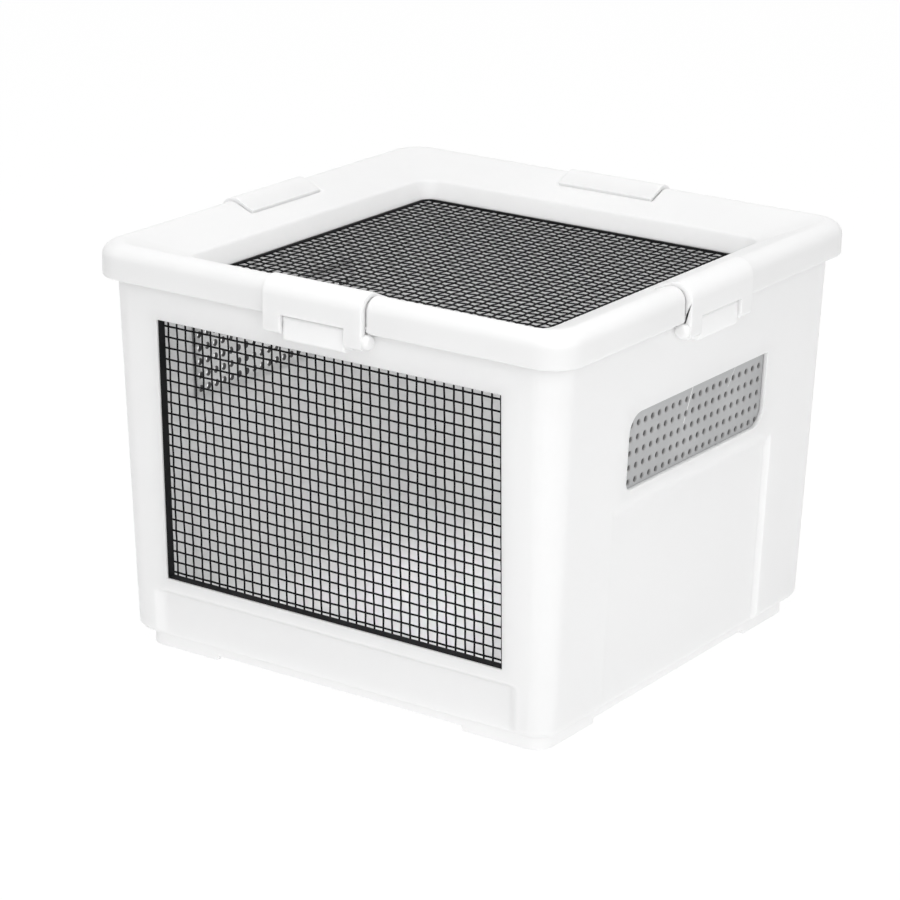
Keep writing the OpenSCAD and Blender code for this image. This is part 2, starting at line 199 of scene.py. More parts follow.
# Fineness of the meshes: widest gaps between stations, steps of curves, and lengths that count as nothing
TUB_STEP = 14.0
LID_STEP = 16.0
LID_FLAT_INSET = 60.0
FUNNEL_MARKS = (12.5, 15.0, 24.0, 29.0)
UNDERSIDE_MARKS = (20.0, 12.0)
SKIRT_MARKS = 5
TUB_CORNER_STEPS = 12
LID_CORNER_STEPS = 14
BASE_STEPS = 6
RIM_STEPS = 6
RIDGE_STEPS = 14
KNEE_STEPS = 5
LIP_STEPS = 3
HOOK_STEPS = 18
TOE_STEPS = 6
LUG_STEPS = 3
FLOOR_STEPS = 3
VENT_STEPS = 6
PANEL_MARKS = 14
RAMP_MARKS = 18
NOTCH_MARKS = 9
FADE_MARKS = 6
ROUND_SIDES = 32
WIRE_SIDES = 6
CRIMP_STEPS = 4
CELL_PARTS = 6
NEAR_DOUBLE = 0.05
TOUCH = 0.02
MERGE = 0.002

# Stage: the floor's tone and own light, the share of that light that the background and the object get, and
# the world's fill on the object
FLOOR_REACH = 6000.0
FLOOR_DROP = 0.2
FLOOR_TONE = 0.9
FLOOR_LIGHT = 1.03
FLOOR_SHOWN = 0.92
FLOOR_FILL = 0.5
WORLD_FILL = 0.57
LIGHT_TARGET = (0.0, 0.0, 100.0)

# Camera: the photograph's view, with a long lens a little above the rim, and angles in degrees
CAMERA_AZIMUTH = 34.494
CAMERA_ELEVATION = 18.531
CAMERA_ROLL = 0.789
CAMERA_DISTANCE = 1690.0
CAMERA_TARGET = (-9.9, -8.3, 96.5)
FOCAL_PIXELS = 3284.1
FRAME_PIXELS = 900
SENSOR = 36

# Sides: the way out, the way along and the half sizes
OUT = [Vector((0, -1, 0)), Vector((1, 0, 0)), Vector((0, 1, 0)), Vector((-1, 0, 0))]
ALONG = OUT[1:] + OUT[:1]
UP = Vector((0, 0, 1))
HALF_OUT = [HALF_D, HALF_W, HALF_D, HALF_W]
HALF_ALONG = HALF_OUT[1:] + HALF_OUT[:1]
SIDE_NAMES = ["front", "right", "back", "left"]
FRONT, RIGHT, LEFT = 0, 1, 3

# Corners of a square, in order
CORNERS = [(-1, -1), (1, -1), (1, 1), (-1, 1)]


# Shape helpers


def clamp(x):
    return min(max(x, 0.0), 1.0)


def smooth_step(x):
    x = clamp(x)
    return x * x * (3 - 2 * x)


def soft_min(a, b, reach):
    """The lower of two values, rounded where they cross."""
    near = max(reach - abs(a - b), 0) / reach
    return min(a, b) - near * near * reach / 4


def soft_max(a, b, reach):
    return -soft_min(-a, -b, reach)


def spaced(marks, step):
    """Sorted marks without near doubles, with more between them so that no gap is wider than step."""
    marks = sorted(marks)
    kept = marks[:1] + [m for before, m in zip(marks, marks[1:]) if m - before > NEAR_DOUBLE]
    filled = [kept[0]]
    for low, high in zip(kept, kept[1:]):
        parts = max(1, math.ceil((high - low) / step))
        filled += [low + (high - low) * n / parts for n in range(1, parts + 1)]
    return filled


def arc(centre, radius, start, end, steps):
    """Points of an arc in a plane, with angles in degrees."""
    turns = np.radians(np.linspace(start, end, steps + 1))
    return [(centre[0] + radius * math.cos(t), centre[1] + radius * math.sin(t)) for t in turns]


def circle(centre, radius):
    """Points of a whole circle in a plane."""
    return arc(centre, radius, 0, 360 - 360 / ROUND_SIDES, ROUND_SIDES - 1)


def rounded_corner(before, corner, after, radius, steps):
    """Points of a curve that stands for a corner and leaves its two sides smoothly."""
    before, corner, after = Vector(before), Vector(corner), Vector(after)
    start = corner + (before - corner).normalized() * radius
    end = corner + (after - corner).normalized() * radius
    return [
        tuple(start * (1 - t) ** 2 + corner * 2 * t * (1 - t) + end * t * t)
        for t in np.linspace(0, 1, steps + 1)
    ]


def at_side(side, along, out, z):
    """A point by its place along a side, its distance out from the lid's face, and its height."""
    place = ALONG[side] * along + OUT[side] * (HALF_OUT[side] + out)
    return Vector((place.x, place.y, z))


def side_matrix(side):
    """From a side's frame, in metres, to the part's frame."""
    columns = (ALONG[side], OUT[side], UP)
    matrix = Matrix(columns).transposed().to_4x4()
    matrix.translation = OUT[side] * HALF_OUT[side] * MM
    return matrix


class Station(namedtuple("Station", "side along turn")):
    """A place on the outline: along a flat side, or part way round the corner after it."""

    def point(self, inset, radius, z):
        reach = HALF_ALONG[self.side] - inset - radius
        if self.turn is None:
            return at_side(self.side, min(max(self.along, -reach), reach), -inset, z)
        swing = math.radians(90 * self.turn)
        along = reach + radius * math.sin(swing)
        return at_side(self.side, along, radius * (math.cos(swing) - 1) - inset, z)


def outline_stations(flats, corner_steps):
    """Stations round the outline, from the places along each side."""
    stations = []
    for side in range(4):
        stations += [Station(side, along, None) for along in flats[side]]
        stations += [Station(side, None, n / corner_steps) for n in range(corner_steps + 1)]
    return stations


class MeshData:
    """Vertices and faces that are gathered before a mesh is made."""

    def __init__(self):
        self.points = []
        self.faces = []

    def add(self, points):
        """Adds points and returns their numbers."""
        first = len(self.points)
        self.points += [tuple(p) for p in points]
        return list(range(first, len(self.points)))

    def ring_strip(self, low, high, skip=()):
        """Faces between two closed rings of equal length, apart from those to skip."""
        count = len(low)
        for k in range(count):
            if k not in skip:
                after = (k + 1) % count
                self.faces.append((low[k], low[after], high[after], high[k]))

    def chain(self, rings):
        """Faces between closed rings, one after another."""
        for low, high in zip(rings, rings[1:]):
            self.ring_strip(low, high)

    def line_strip(self, low, high):
        """Faces between two open rows of equal length."""
        for k in range(len(low) - 1):
            self.faces.append((low[k], low[k + 1], high[k + 1], high[k]))

    def mesh(self, name):
        mesh = bpy.data.meshes.new(name)
        mesh.from_pydata((np.array(self.points) * MM).tolist(), [], self.faces)
        shape = bmesh.new()
        shape.from_mesh(mesh)
        bmesh.ops.remove_doubles(shape, verts=shape.verts, dist=MERGE * MM)
        bmesh.ops.dissolve_degenerate(shape, edges=shape.edges, dist=MERGE * MM)
        bmesh.ops.recalc_face_normals(shape, faces=shape.faces)
        shape.to_mesh(mesh)
        shape.free()
        return mesh


def add_object(name, content):
    """An object with a mesh, a light or a camera in it."""
    obj = bpy.data.objects.new(name, content)
    bpy.context.scene.collection.objects.link(obj)
    return obj


def shade(obj, sharp_angle):
    """Smooth shading, with edges sharper than the angle kept sharp."""
    obj.data.polygons.foreach_set("use_smooth", [True] * len(obj.data.polygons))
    obj.data.set_sharp_from_angle(angle=math.radians(sharp_angle))


def add_bevel(obj, width, angle, segments=2):
    bevel = obj.modifiers.new("rounded_edges", "BEVEL")
    bevel.width = width * MM
    bevel.segments = segments
    bevel.limit_method = "ANGLE"
    bevel.angle_limit = math.radians(angle)
    bevel.miter_outer = "MITER_ARC"
    weighted = obj.modifiers.new("even_normals", "WEIGHTED_NORMAL")
    weighted.keep_sharp = True


def dress(obj, material, body, slot, *nodes):
    """Gives a piece its material and body, and hides the nodes of the frame that it stands for."""
    obj.data.materials.append(material)
    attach(obj, body)
    if nodes:
        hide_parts(*nodes)
    return obj


# Materials


def put(tree, socket, value):
    """Links an output to a socket, or sets the socket to a value."""
    if isinstance(value, bpy.types.NodeSocket):
        tree.links.new(value, socket)
    else:
        socket.default_value = value


def add_node(tree, kind, output, inputs=(), **settings):
    """A shader node with its settings, and its inputs by name or number. Returns one of its outputs."""
    node = tree.nodes.new("ShaderNode" + kind)
    for name, value in settings.items():
        setattr(node, name, value)
    for socket, value in dict(inputs).items():
        put(tree, node.inputs[socket], value)
    return node.outputs[output]


class Nodes:
    """A material's node tree, with short calls for what the materials here share."""

    def __init__(self, name):
        self.material = bpy.data.materials.new(name)
        self.material.use_nodes = True
        self.tree = self.material.node_tree
        self.shader = self.tree.nodes["Principled BSDF"]
        self.place = self.add("TexCoord", "Object")

    def add(self, kind, output, inputs=(), **settings):
        return add_node(self.tree, kind, output, inputs, **settings)

    def set(self, socket, value):
        """Sets one of the shader's own sockets, or links an output to it."""
        put(self.tree, self.shader.inputs[socket], value)

    def noise(self, scale, detail=3.0, place=None):
        inputs = {"Scale": scale, "Detail": detail, "Vector": place or self.place}
        return self.add("TexNoise", "Fac", inputs)

    def stretched(self, scale):
        return self.add("Mapping", "Vector", {"Scale": scale, "Vector": self.place})

    def math(self, operation, a, b=0.5):
        return self.add("Math", 0, {0: a, 1: b}, operation=operation)

    def ramp(self, factor, low, high, start=0.3, end=0.7):
        """Colours from low to high as the factor goes from start to end."""
        node = self.tree.nodes.new("ShaderNodeValToRGB")
        for stop, place, colour in zip(node.color_ramp.elements, (start, end), (low, high)):
            stop.position = place
            stop.color = (*colour, 1)
        put(self.tree, node.inputs["Fac"], factor)
        return node.outputs["Color"]

    def range(self, factor, low, high):
        return self.add("MapRange", "Result", {"Value": factor, "To Min": low, "To Max": high})

    def mix(self, factor, a, b):
        inputs = {"Factor": factor, "A": a, "B": (*b, 1)}
        return self.add("Mix", "Result", inputs, data_type="RGBA")

    def bump(self, heights):
        """Bumps one after another, each a height, its strength and its depth in millimetres."""
        inputs = {}
        for height, strength, depth in heights:
            inputs.update({"Height": height, "Strength": strength, "Distance": depth * MM})
            inputs["Normal"] = self.add("Bump", "Normal", inputs)
        self.set("Normal", inputs["Normal"])


def white_plastic(name, depth, tone):
    """Moulded white plastic: a satin skin with a fine grain and faint flow marks. Light goes into it to
    a depth in millimetres, so that thin walls glow a little."""
    uneven = 0.012
    nodes = Nodes(name)
    clouds = nodes.noise(14.0, detail=4.0)
    flow = nodes.noise(9.0, detail=2.0, place=nodes.stretched((1.0, 1.0, 0.25)))
    grain = nodes.noise(1500.0, detail=2.0)
    nodes.set("Base Color", nodes.ramp(clouds, (tone - uneven,) * 3, (tone + uneven,) * 3))
    nodes.set("Roughness", nodes.range(flow, 0.3, 0.46))
    nodes.set("Specular IOR Level", 0.45)
    nodes.set("Subsurface Weight", 1.0)
    nodes.set("Subsurface Radius", (1, 1, 1))
    nodes.set("Subsurface Scale", depth * MM)
    nodes.bump([(flow, 0.12, 0.25), (grain, 0.08, 0.05)])
    return nodes.material


def black_mesh():
    """Coated black wire: a soft sheen that varies along the wire."""
    nodes = Nodes("black_coated_wire")
    coat = nodes.noise(420.0)
    patches = nodes.noise(30.0)
    nodes.set("Base Color", nodes.ramp(patches, (0.003, 0.003, 0.004), (0.008, 0.008, 0.009)))
    nodes.set("Roughness", nodes.range(coat, 0.42, 0.62))
    nodes.set("Specular IOR Level", 0.12)
    nodes.bump([(coat, 0.25, 0.1)])
    return nodes.material


def black_trim():
    """Black strip: flat-sided plastic with a drawn grain."""
    nodes = Nodes("black_strip_plastic")
    drawn = nodes.noise(160.0, place=nodes.stretched((0.15, 1.0, 1.0)))
    patches = nodes.noise(40.0)
    nodes.set("Base Color", nodes.ramp(patches, (0.006, 0.006, 0.007), (0.014, 0.014, 0.015)))
    nodes.set("Roughness", nodes.range(drawn, 0.4, 0.58))
    nodes.set("Specular IOR Level", 0.2)
    nodes.bump([(drawn, 0.15, 0.1)])
    return nodes.material


def scratch_mask(nodes, scratch):
    """1 on a straight scratch, and 0 beside it."""
    run = Vector(scratch.end) - Vector(scratch.start)
    y, z = (
        nodes.math("SUBTRACT", nodes.add("SeparateXYZ", axis, {"Vector": nodes.place}), start * MM)
        for axis, start in zip("YZ", scratch.start)
    )
    way = run.normalized()
    along = nodes.math("ADD", nodes.math("MULTIPLY", y, way.x), nodes.math("MULTIPLY", z, way.y))
    aside = nodes.math("SUBTRACT", nodes.math("MULTIPLY", z, way.x), nodes.math("MULTIPLY", y, way.y))
    on_line = nodes.math("LESS_THAN", nodes.math("ABSOLUTE", aside), scratch.width / 2 * MM)
    after = nodes.math("GREATER_THAN", along, 0.0)
    before = nodes.math("LESS_THAN", along, run.length * MM)
    return nodes.math("MULTIPLY", on_line, nodes.math("MULTIPLY", after, before))


def plain_plate(name, low, high):
    """A plate surface without scratches, which varies a little from place to place."""
    nodes = Nodes(name)
    patches = nodes.noise(60.0)
    nodes.set("Base Color", nodes.ramp(patches, (low,) * 3, (high,) * 3))
    nodes.set("Roughness", nodes.range(patches, 0.45, 0.6))
    return nodes.material


def grey_plate():
    """Outer face of a perforated plate: grey and brushed, with two light scratches."""
    scratch_strength = 0.9
    scratch_colour = (0.85, 0.85, 0.85)
    nodes = Nodes("grey_perforated_plate")
    brushed = nodes.noise(120.0, detail=4.0, place=nodes.stretched((1.0, 0.2, 1.0)))
    patches = nodes.noise(22.0)
    colour = nodes.ramp(patches, (0.4, 0.405, 0.41), (0.46, 0.465, 0.47))
    scratches = scratch_mask(nodes, SCRATCHES[0])
    for scratch in SCRATCHES[1:]:
        scratches = nodes.math("MAXIMUM", scratches, scratch_mask(nodes, scratch))
    scratched = nodes.mix(nodes.math("MULTIPLY", scratches, scratch_strength), colour, scratch_colour)
    nodes.set("Base Color", scratched)
    nodes.set("Roughness", nodes.range(brushed, 0.34, 0.5))
    nodes.bump([(brushed, 0.12, 0.1)])
    return nodes.material


# Tub


def wall_inset(z):
    """Distance of the tub's leaning wall from the lid's face."""
    return BASE_INSET - LEAN * (z - WALL_FOOT)


def wall_axes(side):
    """The way up a leaning wall, and the way in through it."""
    draft = math.atan(LEAN)
    up = UP * math.cos(draft) + OUT[side] * math.sin(draft)
    inward = UP * math.sin(draft) - OUT[side] * math.cos(draft)
    return up, inward


def plain_inset(z):
    """Distance of the tub's outside from the lid's face, with the rounded base edge."""
    if z >= WALL_FOOT:
        return wall_inset(z)
    drop = clamp((WALL_FOOT - z) / BASE_ROUND)
    return BASE_INSET + BASE_ROUND * (1 - math.sqrt(1 - drop * drop))


def panelled_inset(side, along, z, grow):
    """The tub's outside with a recessed panel, grown all round, which blends softly into the wall."""
    inset = plain_inset(z)
    if along is None:
        return inset
    panel = PANELS[side % 2]
    top = panel.top + grow / 2
    edge = smooth_step((panel.half + grow + panel.lead / 2 - abs(along)) / panel.lead)
    depth = soft_min(PANEL_DEPTH, (top - z) * PANEL_DEPTH / panel.rise, panel.soft)
    return inset + edge * (soft_max(wall_inset(z) + depth, inset, panel.soft) - inset)


def outer_inset(side, along, z):
    return panelled_inset(side, along, z, 0.0)


def inner_inset(side, along, z):
    """The tub's inside, with a sloped edge round the floor. The wall keeps its thickness at the panels."""
    slope = max(WALL_FOOT - z, 0)
    return panelled_inset(side, along, max(z, WALL_FOOT), WALL) + WALL + slope


def corner_radius(z):
    share = clamp((z - WALL_FOOT) / (TUB_TOP - WALL_FOOT))
    return BASE_CORNER + (TOP_CORNER - BASE_CORNER) * share


def foot_start(side):
    """Distance from the middle of a side to the corner feet."""
    return HALF_ALONG[side] - PLINTH_INSET - FOOT_LEN


def foot_z(station):
    """Height of the plinth's lower edge: on the ground at the corners, arched between them."""
    if station.turn is not None:
        return 0.0
    return 0.0 if abs(station.along) > foot_start(station.side) else FOOT_H


def panel_marks(panel):
    """Places across a panel's edges, outside and inside the wall, close enough for the fillets."""
    offsets = np.linspace(-panel.lead / 2, panel.lead / 2 + WALL, PANEL_MARKS)
    return [sign * (panel.half + o) for sign in (-1, 1) for o in offsets]


def ramp_marks(panel):
    """Heights across a panel's slanted top, outside and inside the wall, close enough for the fillets."""
    spread = panel.soft + WALL / 2
    return list(np.linspace(panel.top - panel.rise - spread, panel.top + spread, RAMP_MARKS))


def vent_marks(radius):
    """Distances from a vent's corner that its arc needs."""
    return [radius * n / VENT_STEPS for n in range(VENT_STEPS + 1)]


def tub_flats():
    """Places along each side of the tub."""
    ends = panel_marks(PANELS[0]) + [-WINDOW_HALF, WINDOW_HALF]
    sides = panel_marks(PANELS[1])
    for radius in VENT_RADII.values():
        sides += [sign * (VENT_HALF - m) for sign in (-1, 1) for m in vent_marks(radius)]
    flats = []
    for side in range(4):
        shared = [-LUG_HALF, LUG_HALF]
        for foot in (-foot_start(side), foot_start(side)):
            shared += [foot - FOOT_LEAD, foot + FOOT_LEAD]
        flats.append(spaced((ends if side % 2 == 0 else sides) + shared, TUB_STEP))
    return flats


def tub_levels():
    """Heights of the wall's rings, between the rounded base and the rounded rim."""
    marks = [WALL_FOOT, TUB_TOP - WALL / 2, *WINDOW_Z, *LUG_Z]
    for panel in PANELS:
        marks += ramp_marks(panel)
    for radius in VENT_RADII.values():
        marks += [VENT_Z[0] + m for m in vent_marks(radius)]
        marks += [VENT_Z[1] - m for m in vent_marks(radius)]
    return spaced(marks, TUB_STEP)


def vent_radius(side, along, z):
    """Radius of the vent's corner that a place is nearest to. The right side runs from front to back."""
    at_front = (along < 0) == (side == RIGHT)
    level = "low" if z < VENT_MIDDLE else "high"
    return VENT_RADII[level + ("_front" if at_front else "_back")]


def vent_edge(side, along, z):
    """Moves a place on the vent's rectangle onto its rounded outline."""
    radius = vent_radius(side, along, z)
    from_side = VENT_HALF - abs(along)
    from_end = min(z - VENT_Z[0], VENT_Z[1] - z)
    if max(from_side, from_end) >= radius:
        return along, z
    if from_end < from_side:
        turn = 45 + 45 * from_side / radius
    else:
        turn = 45 - 45 * from_end / radius
    swing = math.radians(turn)
    inward = radius * (1 - math.cos(swing))
    upward = radius * (1 - math.sin(swing))
    new_along = math.copysign(VENT_HALF - inward, along)
    return new_along, VENT_Z[0] + upward if z < VENT_MIDDLE else VENT_Z[1] - upward


class Opening:
    """A hole through one wall, or a lug's root: the range of stations and of levels that it takes."""

    def __init__(self, shell, side, half, heights):
        near = [
            k for k, s in enumerate(shell.stations)
            if s.side == side and s.turn is None and abs(s.along) < half + TOUCH
        ]
        inside = [j for j, z in enumerate(shell.levels) if heights[0] - TOUCH < z < heights[1] + TOUCH]
        self.side = side
        self.first, self.last = near[0], near[-1]
        self.low, self.high = inside[0], inside[-1]

    def skips(self, level):
        """Stations whose face above this level is left out."""
        if self.low <= level < self.high:
            return set(range(self.first, self.last))
        return set()

    def loop(self):
        """Stations and levels round the hole's edge, in order."""
        ways = [(k, self.low) for k in range(self.first, self.last)]
        ways += [(self.last, j) for j in range(self.low, self.high)]
        ways += [(k, self.high) for k in range(self.last, self.first, -1)]
        return ways + [(self.first, j) for j in range(self.high, self.low, -1)]

    def on_edge(self, k, j):
        across = k in (self.first, self.last) and self.low <= j <= self.high
        return across or (j in (self.low, self.high) and self.first <= k <= self.last)


class TubShell(MeshData):
    """The tub's surface, from the underside up the walls, over the rim and down to the floor."""

    def __init__(self):
        super().__init__()
        self.stations = outline_stations(tub_flats(), TUB_CORNER_STEPS)
        self.levels = tub_levels()
        self.window = Opening(self, FRONT, WINDOW_HALF, WINDOW_Z)
        self.vents = [Opening(self, side, VENT_HALF, VENT_Z) for side in (RIGHT, LEFT)]
        self.lugs = [Opening(self, side, LUG_HALF, LUG_Z) for side in range(4)]

    def ring(self, inset_at, radius, z_at):
        """One ring, from the inset and the height at each station."""
        return self.add([s.point(inset_at(s), radius, z_at(s)) for s in self.stations])

    def level_ring(self, inset, radius, z):
        """A ring with one inset and one height all round."""
        return self.ring(lambda s: inset, radius, lambda s: z)

    def panel_ring(self, inset_of, radius, z):
        """A ring at one height, with the inset of the panelled walls."""
        return self.ring(lambda s: inset_of(s.side, s.along, z), radius, lambda s: z)

    def wall_ring(self, j, inset_of, radius):
        """A ring of the wall, with the vents' corners rounded."""
        points = []
        for k, s in enumerate(self.stations):
            along, z = s.along, self.levels[j]
            if any(v.side == s.side and v.on_edge(k, j) for v in self.vents):
                along, z = vent_edge(s.side, along, z)
            inset = inset_of(s.side, along, z)
            points.append(Station(s.side, along, s.turn).point(inset, radius, z))
        return self.add(points)

    def add_base(self):
        """The underside, the plinth on its feet and the rounded base edge, whose last ring is returned."""
        inner_edge = PLINTH_INSET + PLINTH_T
        inner_corner = PLINTH_CORNER - PLINTH_T
        underside = self.level_ring(inner_edge, inner_corner, PLINTH_H)
        self.faces.append(tuple(reversed(underside)))
        rings = [
            underside,
            self.ring(lambda s: inner_edge, inner_corner, foot_z),
            self.ring(lambda s: PLINTH_INSET, PLINTH_CORNER, foot_z),
            self.level_ring(PLINTH_INSET, PLINTH_CORNER, PLINTH_H),
        ]
        for turn in np.linspace(0, 90, BASE_STEPS + 1)[:-1]:
            z = WALL_FOOT - BASE_ROUND * math.cos(math.radians(turn))
            rings.append(self.panel_ring(outer_inset, BASE_CORNER, z))
        self.chain(rings)
        return rings[-1]

    def add_walls(self, base):
        """Outside and inside of the walls above the base's last ring. Returns the rings of both."""
        radii = [corner_radius(z) for z in self.levels]
        outer = [self.wall_ring(j, outer_inset, radius) for j, radius in enumerate(radii)]
        inner = [self.wall_ring(j, inner_inset, radius - WALL) for j, radius in enumerate(radii)]
        self.ring_strip(base, outer[0])
        for j in range(len(self.levels) - 1):
            holes = self.window.skips(j).union(*(v.skips(j) for v in self.vents))
            self.ring_strip(inner[j + 1], inner[j], holes)
            self.ring_strip(outer[j], outer[j + 1], holes.union(*(u.skips(j) for u in self.lugs)))
        return outer, inner

    def add_lug(self, lug, outer):
        """A hinge lug that grows out of the wall, with rounded outer edges."""
        middle = sum(LUG_Z) / 2
        half_h = (LUG_Z[1] - LUG_Z[0]) / 2
        layers = [(LUG_FACE - LUG_ROUND, 0.0)]
        for n in range(LUG_STEPS):
            swing = math.radians(90 * (n + 1) / LUG_STEPS)
            out = LUG_FACE - LUG_ROUND * (1 - math.sin(swing))
            layers.append((out, LUG_ROUND * (1 - math.cos(swing))))

        def placed(k, j, out, edge):
            along = self.stations[k].along * (LUG_HALF - edge) / LUG_HALF
            z = middle + (self.levels[j] - middle) * (half_h - edge) / half_h
            return at_side(lug.side, along, out, z)

        loop = lug.loop()
        rings = [[outer[j][k] for k, j in loop]]
        rings += [self.add([placed(k, j, *layer) for k, j in loop]) for layer in layers]
        self.chain(rings)
        face = [
            self.add([placed(k, j, *layers[-1]) for k in range(lug.first, lug.last + 1)])
            for j in range(lug.low, lug.high + 1)
        ]
        for low, high in zip(face, face[1:]):
            self.line_strip(low, high)

    def add_rim(self, outside, inside):
        """The rounded rim between the top rings of the two sides of the wall."""
        top_r = WALL / 2
        rings = [outside]
        for turn in np.linspace(0, 180, RIM_STEPS + 1)[1:-1]:
            inset = RIM_INSET + top_r * (1 - math.cos(math.radians(turn)))
            z = self.levels[-1] + top_r * math.sin(math.radians(turn))
            rings.append(self.level_ring(inset, TOP_CORNER - (inset - RIM_INSET), z))
        self.chain(rings + [inside])

    def add_floor(self, inside):
        """The floor with its sloped edge, below the lowest ring of the inside."""
        rings = [inside]
        for z in np.linspace(WALL_FOOT, PLINTH_H + FLOOR_T, FLOOR_STEPS + 1)[1:]:
            rings.append(self.panel_ring(inner_inset, BASE_CORNER - WALL, z))
        self.chain(rings)
        self.faces.append(tuple(rings[-1]))

    def build(self, name):
        outer, inner = self.add_walls(self.add_base())
        for hole in (self.window, *self.vents):
            loop = hole.loop()
            self.ring_strip([outer[j][k] for k, j in loop], [inner[j][k] for k, j in loop])
        for lug in self.lugs:
            self.add_lug(lug, outer)
        self.add_rim(outer[-1], inner[-1])
        self.add_floor(inner[0])
        return self.mesh(name)


# Lid


def funnel_height(inset):
    """Height of the funnel's surface at a distance in from the lid's face."""
    return SHOULDER_Z + RIM_R / math.cos(FUNNEL_ANGLE) - (inset - RIM_R) * math.tan(FUNNEL_ANGLE)


FUNNEL_Z = funnel_height(FUNNEL_INSET)
THROAT_Z = FUNNEL_Z - THROAT_H


def lid_upper_profile():
    """The lid's section as distance in from its face and height, from the skirt over the rim to the top of
    the throat."""
    slope = math.degrees(FUNNEL_ANGLE)
    fade = np.linspace(NOTCH_END - NOTCH_FADE, NOTCH_END + NOTCH_FADE, FADE_MARKS)
    face = [(0.0, z) for z in np.linspace(SKIRT_Z + LID_EDGE, SHOULDER_Z, SKIRT_MARKS + 1)[:-1]]
    rim = [(RIM_R - x, z) for x, z in arc((0, SHOULDER_Z), RIM_R, 0, 90 + slope, RIDGE_STEPS)]
    funnel = [(d, funnel_height(d)) for d in sorted((*FUNNEL_MARKS, *fade))]
    knee, throat_end = (FUNNEL_INSET, FUNNEL_Z), (THROAT_INSET, THROAT_Z)
    throat = rounded_corner(funnel[-1], knee, throat_end, KNEE_ROUND, KNEE_STEPS)
    return face + rim + funnel + throat


def lid_lower_profile(start):
    """The rest of the section, from the throat's end back along the underside to the skirt's lower edge."""
    shell = LID_T / math.cos(FUNNEL_ANGLE)
    ceiling = funnel_height(RIM_INSET + WALL) - shell
    throat_shift = LID_T * math.hypot(THROAT_H, THROAT_INSET - FUNNEL_INSET) / THROAT_H
    throat_end = (THROAT_INSET, THROAT_Z)
    heel = (THROAT_INSET - throat_shift, THROAT_Z)
    under_in, under_rise = 0.4, 0.3
    under_z = FUNNEL_Z - shell + under_rise * math.tan(FUNNEL_ANGLE)
    under_knee = (FUNNEL_INSET - throat_shift - under_in, under_z)
    lip = rounded_corner(start, throat_end, heel, LIP_ROUND, LIP_STEPS)
    underside = rounded_corner(lip[-1], heel, under_knee, HEEL_ROUND, LIP_STEPS) + [under_knee]
    underside += [(d, funnel_height(d) - shell) for d in UNDERSIDE_MARKS]
    roof = [(RIM_INSET + WALL, ceiling), (LID_T + ROOF_ROUND, ceiling), (LID_T, ceiling - ROOF_ROUND)]
    inside = [(LID_T, z) for z in np.linspace(SHOULDER_Z - 2, SKIRT_Z + LID_EDGE, SKIRT_MARKS)]
    edge = [
        (LID_T / 2 + (LID_T / 2 - LID_EDGE * in_share) * way, SKIRT_Z + LID_EDGE * (1 - down_share))
        for way, in_share, down_share in ((1, 0.3, 0.7), (1, 1, 1), (-1, 1, 1), (-1, 0.3, 0.7))
    ]
    return lip + underside + roof + inside + edge


def lid_corner_radius(inset):
    """Corner radius of the lid's rings, from the rim in to the throat."""
    marks = [0.0, RIM_R, FUNNEL_INSET, THROAT_INSET]
    return float(np.interp(inset, marks, [LID_CORNER, RIDGE_CORNER, FUNNEL_CORNER, THROAT_CORNER]))


def lid_flats():
    """Places along each side of the lid."""
    offsets = np.linspace(-NOTCH_LAP, NOTCH_LEAD, NOTCH_MARKS)
    ends = [sign * (NOTCH_HALF + o) for sign in (-1, 1) for o in offsets]
    reaches = [half - LID_FLAT_INSET for half in HALF_ALONG]
    return [spaced(ends + [-reach, reach], LID_STEP) for reach in reaches]


def notch_share(station):
    """1 in a latch's notch, falling to 0 with a rounded end beside it."""
    if station.turn is not None:
        return 0.0
    beside = clamp((abs(station.along) - NOTCH_HALF) / NOTCH_LEAD)
    return 1 - math.sqrt(1 - (1 - beside) ** 2)


def lid_shell_mesh(name):
    """The lid's section run round the outline, pressed in at the notches."""
    stations = outline_stations(lid_flats(), LID_CORNER_STEPS)
    upper = lid_upper_profile()
    profile = upper + lid_lower_profile(upper[-1])
    rim_end = next(n for n, p in enumerate(profile) if p[0] > NOTCH_END + NOTCH_FADE)
    data = MeshData()
    rings = []
    for n, (inset, z) in enumerate(profile):
        before, after = profile[n - 1], profile[(n + 1) % len(profile)]
        run = Vector((after[0] - before[0], after[1] - before[1])).normalized()
        fade = smooth_step((NOTCH_END + NOTCH_FADE - inset) / (2 * NOTCH_FADE)) if n <= rim_end else 0.0
        lift = max(1 - (z - SKIRT_Z) / SKIRT_CUT_FADE, 0.0) if inset <= LID_T + TOUCH else 0.0
        points = []
        for s in stations:
            depth = notch_share(s)
            d = inset + run.y * NOTCH_DEPTH * depth * fade
            h = z - run.x * NOTCH_DEPTH * depth * fade + SKIRT_CUT * lift * depth
            points.append(s.point(d, lid_corner_radius(d), h))
        rings.append(data.add(points))
    data.chain(rings + rings[:1])
    return data.mesh(name)


# Latches


def prism(name, section, start, end):
    """A solid with a section, as distance out and height, run along a side."""
    data = MeshData()
    low = data.add([(start, out, z) for out, z in section])
    high = data.add([(end, out, z) for out, z in section])
    data.ring_strip(low, high)
    data.faces += [tuple(low), tuple(reversed(high))]
    return add_object(name, data.mesh(name))


